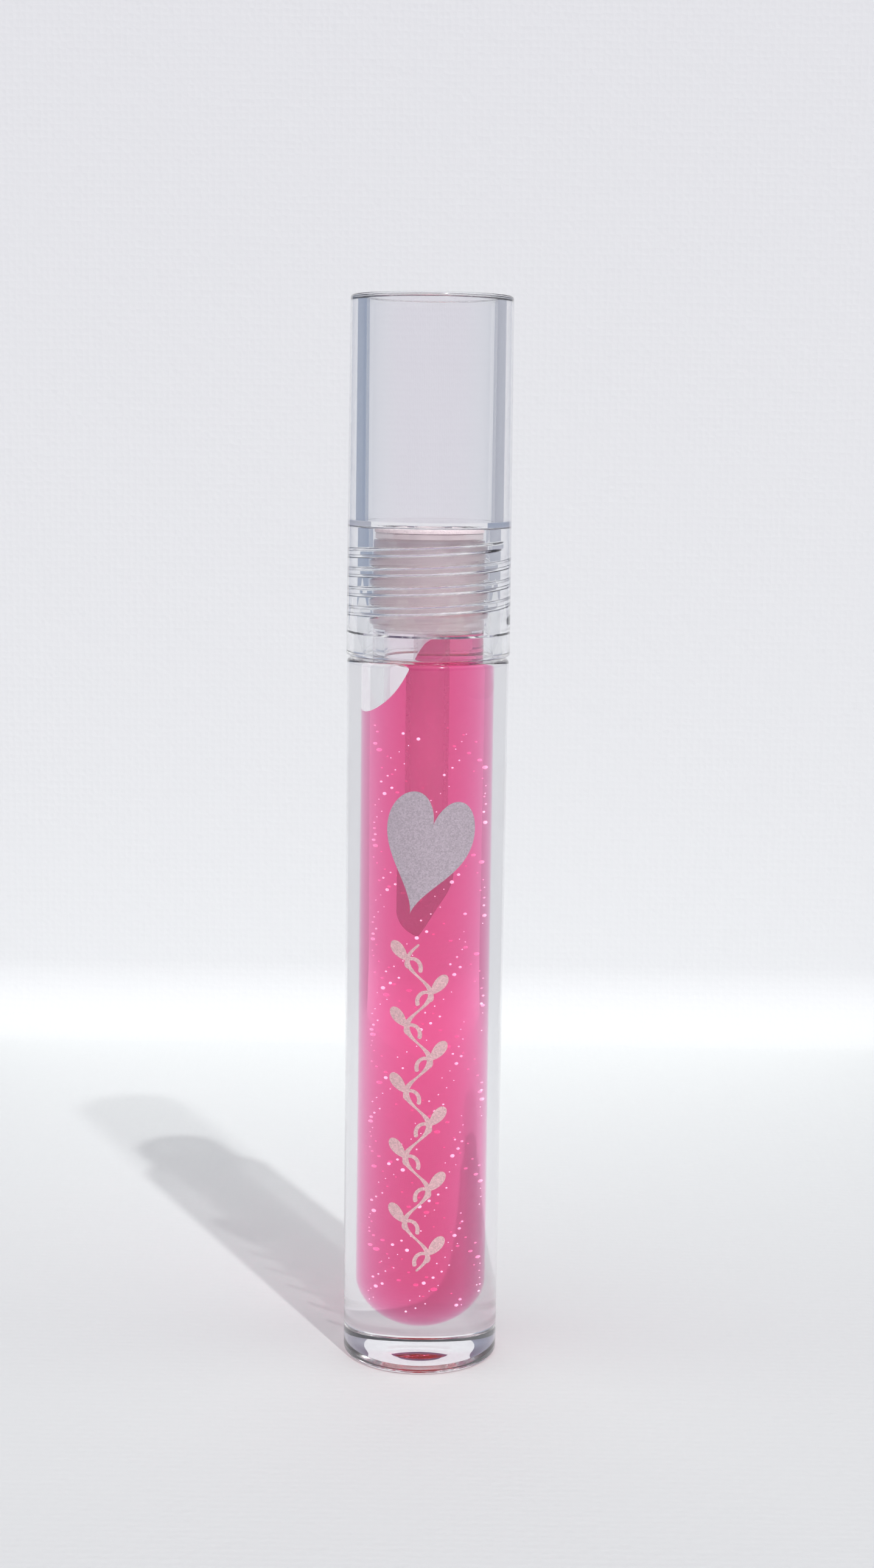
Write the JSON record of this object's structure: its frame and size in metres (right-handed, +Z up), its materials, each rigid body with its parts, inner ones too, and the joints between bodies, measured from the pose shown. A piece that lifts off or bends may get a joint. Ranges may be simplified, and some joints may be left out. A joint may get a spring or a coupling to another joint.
{
  "type": "lip gloss tube",
  "caption": "Round thick-walled clear tube of pink lip gloss with a clear screw cap that carries a flocked wand.",
  "frame": {"origin": "centre of the base, on the surface that the tube stands on", "axes": "+Z up the tube's axis towards the cap, -Y towards the printed side"},
  "size_m": [0.018, 0.018, 0.1184],
  "materials": {
    "bottle_clear": "polished clear",
    "gloss": "wet, translucent",
    "wiper": "milky, natural",
    "silver_print": "glitter",
    "rose_print": "metallic foil",
    "washer": "soft foam",
    "cap_clear": "polished clear",
    "inner_clear": "polished clear",
    "stem": "smooth",
    "core": "moulded",
    "flock": "short fibres soaked in gloss"
  },
  "bodies": {
    "filled_bottle": {"bottle": "bottle_clear", "gloss_fill": "gloss", "wiper_plug": "wiper", "heart_print": "silver_print", "vine_print": "rose_print"},
    "washer": {"seal_washer": "washer"},
    "cap_and_wand": {"cap_shell": "cap_clear", "inner_cap": "inner_clear", "wand_stem": "stem", "applicator_core": "core", "applicator_flock": "flock"}
  },
  "joints": [
    {"name": "cap_lift", "type": "slide", "parent": "filled_bottle", "child": "washer", "axis": [0, 0, 1], "range_m": [0, 0.05]},
    {"name": "cap_turn", "type": "hinge", "parent": "washer", "child": "cap_and_wand", "pos_m": [0, 0, 0.0923], "axis": [0, 0, 1], "range_deg": [0, 8600]}
  ],
  "couplings": [
    {"joint": "cap_turn", "follows": "cap_lift", "rad_per_m": 2992}
  ]
}
